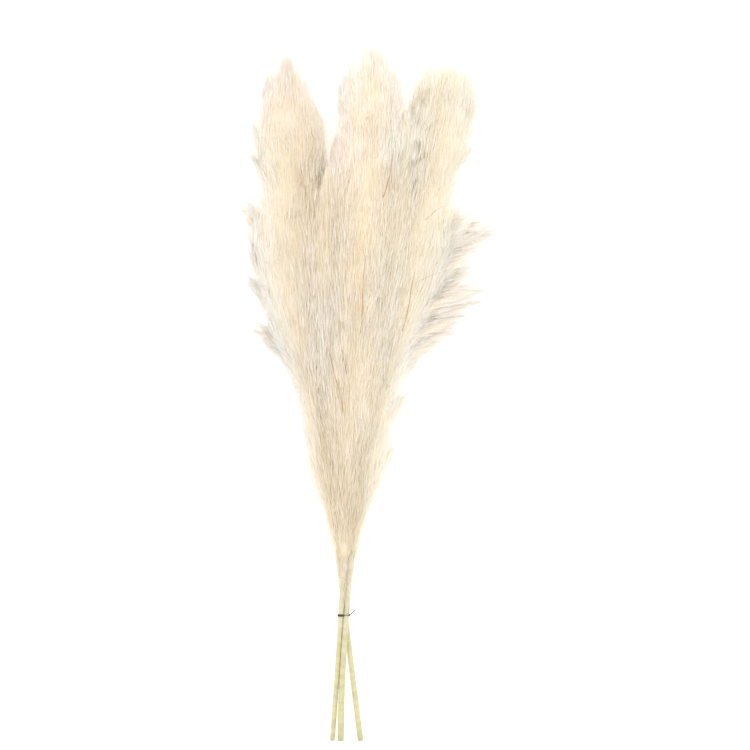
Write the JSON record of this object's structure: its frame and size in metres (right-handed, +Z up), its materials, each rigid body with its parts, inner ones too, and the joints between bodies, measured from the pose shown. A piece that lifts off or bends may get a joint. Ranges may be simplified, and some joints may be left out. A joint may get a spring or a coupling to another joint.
{
  "type": "pampas grass bundle",
  "caption": "Bundle of dried pampas grass lying on a surface: feathery cream plumes on bare straw canes, held by a black twist tie.",
  "frame": {"origin": "on the surface the bundle lies on, under the middle of its bounding box", "axes": "+Y along the bundle from the cut ends to the plume tips, +Z up from the surface it lies on, +X to the right seen from above with the tips away"},
  "size_m": [0.4031, 1.0494, 0.1458],
  "materials": {
    "cane": "satin dried straw",
    "plume_left": "silky, warm cream",
    "plume_middle": "silky, pale cream",
    "plume_right": "silky, cream",
    "tie": "satin black coating"
  },
  "bodies": {
    "root": {"cane_left": "cane", "cane_middle": "cane", "cane_right": "cane", "plume_left": "plume_left", "plume_middle": "plume_middle", "plume_right": "plume_right", "tie": "tie"}
  },
  "joints": []
}
